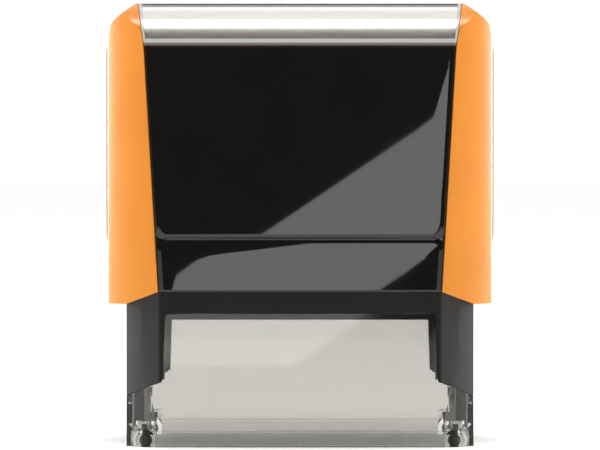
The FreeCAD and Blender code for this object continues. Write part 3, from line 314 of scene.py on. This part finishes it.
def moulded_rubber():
    """Synthetic rubber, compression moulded: dull black with a soft bloom."""
    m, where = new_material("moulded rubber")
    bloom = add(m, "TexNoise", Vector=where, Scale=1 / (0.7 * MM), Detail=4.0)
    dull = add(m, "MapRange", Value=bloom.outputs[0], To_Min=0.5, To_Max=0.75)
    shader = add(m, "BsdfPrincipled", Base_Color=blend_colours(m, bloom.outputs[0], "151413", "211F1D"),
                 Roughness=dull.outputs[0])
    return finish_material(m, shader.outputs[0])


def drawn_steel():
    """Spring steel, drawn through a die: bright grey with fine lines along the wire."""
    m, where = new_material("drawn spring steel")
    lines = add(m, "TexNoise", Vector=where, Scale=1 / (0.12 * MM), Detail=3.0)
    gloss = add(m, "MapRange", Value=lines.outputs[0], To_Min=0.2, To_Max=0.38)
    shader = add(m, "BsdfPrincipled", Base_Color=blend_colours(m, lines.outputs[0], "A9A8A6", "C4C3C0"),
                 Metallic=1.0, Roughness=gloss.outputs[0])
    return finish_material(m, shader.outputs[0])


def dress(by_slot, by_node):
    """Gives each CAD node the material of its record slot, or the one named for that node."""
    slots = {part["node"]: part["material_slot"] for part in frame["record"]["subparts"]}
    for name, node in NODES.items():
        node.data.materials.clear()
        node.data.materials.append(by_node.get(name) or by_slot[slots[name]])


# ---------------------------------------------------------------- shapes
def edges_of(name):
    """A node's lower and upper edge: their heights, their half widths, and how far each of them is from the
    middle plane on the node's inner side."""
    points = [v.co for v in NODES[name].data.vertices]
    low, high = min(p.z for p in points), max(p.z for p in points)

    def half(z):
        return max(abs(p.x) for p in points if abs(p.z - z) < EDGE_BAND)

    def depth(z):
        return min(abs(p.y) for p in points if abs(p.z - z) < EDGE_BAND)

    return low, high, half(low), half(high), (depth(low), depth(high))


def soften(name, width):
    """Rounds a node's sharp edges a little, as moulded edges are."""
    node = NODES[name]
    weld = node.modifiers.new("join", "WELD")
    weld.merge_threshold = WELD_REACH
    bevel = node.modifiers.new("edges", "BEVEL")
    bevel.width = width
    bevel.segments = 2
    bevel.limit_method = "ANGLE"
    bevel.angle_limit = BEVEL_ANGLE
    normals = node.modifiers.new("normals", "WEIGHTED_NORMAL")
    normals.keep_sharp = False


def steps(distances, start, end, middle):
    """Positions from start to end: close together at the given distances from both ends, even in between."""
    first = [start + d for d in distances]
    last = [end - d for d in reversed(distances)]
    span = last[0] - first[-1]
    count = max(1, round(span / middle))
    return first + [first[-1] + span * i / count for i in range(1, count)] + last


def corner_distance(a, b, radius):
    """How far a point is inside a corner of that radius, when it is a and b from the two sides."""
    if a >= radius and b >= radius:
        return min(a, b)
    return radius - math.hypot(max(radius - a, 0.0), max(radius - b, 0.0))


def bead_height(t, twist):
    """The bead's profile as a share of its radius, with t from -1 at its lower side to 1 at its upper one:
    round, with a flat flank above the middle. twist leans the flank further back."""
    start, end = FLANK
    if t <= start or t >= end:
        return math.sqrt(max(0.0, 1 - t * t))
    first, last = math.sqrt(1 - start * start), math.sqrt(1 - end * end)
    return first + (last - first) * (t - start) / (end - start) - twist * (t - start)


def panel_depth(x, z, half, low, high):
    """How deep a glossy panel's face is below its front plane: two fields with round corners, of which the
    upper one rolls off towards the sides and the lower one towards all its edges, a sloping border, a bead in
    a groove between the fields, and a round edge."""
    bead = low + BEAD_UP
    side = half - abs(x)
    upper = corner_distance(side - FIELD_BORDER, z - bead - BEAD_TO_FIELD, FIELD_CORNER)
    lower = corner_distance(side - FIELD_BORDER, bead - BEAD_TO_FIELD - z, FIELD_CORNER)
    inside = max(upper, lower)
    roll = side - FIELD_BORDER if z > bead else inside
    depth = FIELD_FALL * max(0.0, 1.0 - max(roll, 0.0) / FIELD_ROLL) ** 2
    depth += min(BORDER_DEPTH, BORDER_SLOPE * max(0.0, -inside))
    if z < bead:
        depth += FIELD_TILT * (bead - z)
    short = side - BEAD_SHORT
    if short > 0 and abs(z - bead) < BEAD_R:
        share = math.sqrt(1 - max(0.0, 1 - short / (2 * BEAD_R)) ** 2)
        twist = BEAD_TWIST * (x / half) ** 2
        depth = min(depth, BEAD_SUNK - share * BEAD_R * bead_height((z - bead) / BEAD_R, twist))
    rim = corner_distance(side, min(z - low, high - z), EDGE_R)
    if rim < EDGE_R:
        depth += EDGE_R - math.sqrt(max(0.0, EDGE_R**2 - (EDGE_R - rim) ** 2))
    return depth


def glossy_panel(name, turn):
    """A glossy panel in place of its CAD node: turn is 1 at the front and -1 at the rear."""
    low, high, half_low, half_high, (back_low, back_high) = edges_of(name)
    low -= PANEL_DROP
    fine = [EDGE_R * k for k in EDGE_LINES] + [k * MM for k in FACE_LINES]
    bead = low + BEAD_UP
    bead_steps = [BEAD_R * k for k in BEAD_LINES] + [k * MM for k in GROOVE_LINES]
    rows = [z for z in steps(fine, low, high, ROW_SPACING) if abs(z - bead) > bead_steps[-1] + ROW_GAP]
    rows += [bead + s for s in bead_steps] + [bead - s for s in bead_steps[1:]]
    rows.sort()
    lean = (back_low - back_high) / (high - low - PANEL_DROP)
    mesh = bmesh.new()
    grid, backs = [], []
    for z in rows:
        half = half_low + (half_high - half_low) * (z - low) / (high - low)
        back = back_low - lean * (z - low - PANEL_DROP)
        front = back + PANEL_THICK
        columns = steps(fine, -half, half, COLUMN_SPACING)
        face = [(x, front - panel_depth(x, z, half, low, high)) for x in columns]
        grid.append([mesh.verts.new((turn * x, -turn * y, z)) for x, y in face])
        backs.append([mesh.verts.new((turn * x, -turn * back, z)) for x in (-half, half)])
    for lower, upper in zip(grid, grid[1:]):
        for i in range(len(lower) - 1):
            mesh.faces.new((lower[i], lower[i + 1], upper[i + 1], upper[i]))
    for (a, b), (c, d), lower, upper in zip(backs, backs[1:], grid, grid[1:]):
        mesh.faces.new((b, a, c, d))
        mesh.faces.new((a, lower[0], upper[0], c))
        mesh.faces.new((lower[-1], b, d, upper[-1]))
    mesh.faces.new([backs[0][0], backs[0][1]] + grid[0][::-1])
    mesh.faces.new([backs[-1][1], backs[-1][0]] + grid[-1])
    mesh.normal_update()
    for face in mesh.faces:
        face.smooth = True
    for edge in mesh.edges:
        edge.smooth = len(edge.link_faces) < 2 or edge.calc_face_angle() < SMOOTH_ANGLE
    data = bpy.data.meshes.new(name + "_gloss")
    mesh.to_mesh(data)
    mesh.free()
    piece = bpy.data.objects.new(name + "_gloss", data)
    bpy.context.scene.collection.objects.link(piece)
    return piece


def place_panels(material):
    """Both glossy panels, on the cap in place of their CAD nodes."""
    for name, turn in (("front_panel", 1), ("rear_panel", -1)):
        piece = glossy_panel(name, turn)
        piece.data.materials.append(material)
        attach(piece, "cap")
        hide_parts(name)


# ---------------------------------------------------------------- studio
def make_floor():
    """Plain pale floor."""
    mesh = bpy.data.meshes.new("floor")
    corners = [(-1, -1), (1, -1), (1, 1), (-1, 1)]
    mesh.from_pydata([(x * FLOOR_HALF, y * FLOOR_HALF, 0) for x, y in corners], [], [(0, 1, 2, 3)])
    floor = bpy.data.objects.new("floor", mesh)
    bpy.context.scene.collection.objects.link(floor)
    m, where = new_material("matt floor paint")
    speckle = add(m, "TexNoise", Vector=where, Scale=1 / (30 * MM), Detail=3.0)
    shader = add(m, "BsdfPrincipled", Base_Color=blend_colours(m, speckle.outputs[0], "FDFDFC", "FFFFFE"),
                 Roughness=0.9)
    shader.inputs["Specular IOR Level"].default_value = 0.1
    mesh.materials.append(finish_material(m, shader.outputs[0]))


def area_light(name, where, target, size, watts, roll=0.0):
    """A soft box that points at target. It isn't seen straight or through clear plastic, only by its light
    and its reflections."""
    data = bpy.data.lights.new(name, "AREA")
    data.shape = "RECTANGLE"
    data.size, data.size_y = size
    data.energy = watts
    lamp = bpy.data.objects.new(name, data)
    bpy.context.scene.collection.objects.link(lamp)
    lamp.location = where
    lamp.rotation_euler = (Vector(target) - Vector(where)).to_track_quat("-Z", "Y").to_euler()
    lamp.rotation_euler.rotate_axis("Z", roll)
    lamp.visible_camera = False
    lamp.visible_transmission = False


def make_lights():
    """Soft studio light: white surroundings that are brighter above and dimmer towards the front and back, a
    box overhead, a low box on each side, and a strip box in front and behind for the glossy panels to mirror.
    """
    world = bpy.data.worlds.new("studio")
    bpy.context.scene.world = world
    world.use_nodes = True
    tree = world.node_tree
    tree.nodes.clear()
    out = add(world, "OutputWorld")
    towards = add(world, "SeparateXYZ", _0=add(world, "TexCoord").outputs["Generated"])
    around = 1.0
    for axis, start, end, level in SURROUNDINGS:
        part = add(world, "MapRange", {"interpolation_type": "SMOOTHSTEP"}, Value=towards.outputs[axis],
                   From_Min=start, From_Max=end, To_Min=1.0, To_Max=level)
        around = add(world, "Math", {"operation": "MULTIPLY"}, _0=around, _1=part.outputs[0]).outputs[0]
    # The camera sees the surroundings plain white, also through clear plastic before the first reflection.
    path = add(world, "LightPath")
    bounces = add(world, "Math", _0=path.outputs["Glossy Depth"], _1=path.outputs["Diffuse Depth"])
    straight = add(world, "Math", {"operation": "LESS_THAN"}, _0=bounces.outputs[0], _1=0.5)
    through = add(world, "Math", {"operation": "MULTIPLY"}, _0=path.outputs["Is Transmission Ray"],
                  _1=straight.outputs[0])
    direct = add(world, "Math", {"operation": "MAXIMUM"}, _0=path.outputs["Is Camera Ray"],
                 _1=through.outputs[0])
    strength = add(world, "Mix", {"data_type": "FLOAT"}, Factor=direct.outputs[0], A=around, B=1.0)
    light = add(world, "Background", Color=(1, 1, 1, 1), Strength=strength.outputs[0])
    tree.links.new(light.outputs[0], out.inputs["Surface"])
    area_light("overhead box", where=(0, -0.4, 0.85), target=(0, 0, 0.05), size=(0.36, 0.2), watts=3.2)
    for sign in (-1, 1):
        area_light("side box", where=(sign * 0.9, 0.5, 0.15), target=(0, 0, 0.1), size=(0.9, 0.28),
                   watts=11.0)
        spot = (-sign * 0.042, sign * 1.5, 0.075)
        area_light("strip box", where=spot, target=(spot[0], 0, spot[2]), size=(0.33, 0.073), watts=0.21,
                   roll=math.radians(34))


def make_camera():
    """A long lens in front of the stamp and a little above its middle."""
    data = bpy.data.cameras.new("camera")
    data.lens, data.sensor_width = LENS, SENSOR
    data.clip_start, data.clip_end = 0.01, 20
    camera = bpy.data.objects.new("camera", data)
    bpy.context.scene.collection.objects.link(camera)
    camera.location = CAMERA_AT
    camera.rotation_euler = (Vector(CAMERA_TO) - camera.location).to_track_quat("-Z", "Y").to_euler()
    bpy.context.scene.camera = camera


# ---------------------------------------------------------------- scene
bpy.context.scene.view_settings.view_transform = "Standard"
gloss_black = polished_black_abs()
acetal = black_acetal()
trim_grey = moulded_abs("smoke grey ABS", "2E2F2C", "363733", 0.42)
dress(
    {
        "orange_plastic": satin_orange_abs(),
        "black_gloss_plastic": gloss_black,
        "black_plastic": grained_black_abs(),
        "grey_plastic": moulded_abs("grey ABS", "5F605F", "686968", 0.4),
        "blue_plastic": moulded_abs("blue ABS", "1D4F9A", "2458A6", 0.3),
        "clear_plastic": shade_tinted_polystyrene(),
        "card": silvered_card(),
        "stamp_rubber": engraved_rubber(),
        "ink_felt": inked_felt(),
        "feet_rubber": moulded_rubber(),
        "spring_steel": drawn_steel(),
    },
    {
        "yoke": acetal,
        "plate_holder": acetal,
        "index_window": index_polystyrene(),
        "side_plate_left": trim_grey,
        "side_plate_right": trim_grey,
    },
)
place_panels(gloss_black)
for node_name, edge_width in EDGE_WIDTHS.items():
    soften(node_name, edge_width)
# At full press the drawn spring is 0.14 mm shorter than the room left for it, so it stays out of the cap.
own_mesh(NODES["return_spring"])
make_floor()
make_lights()
make_camera()
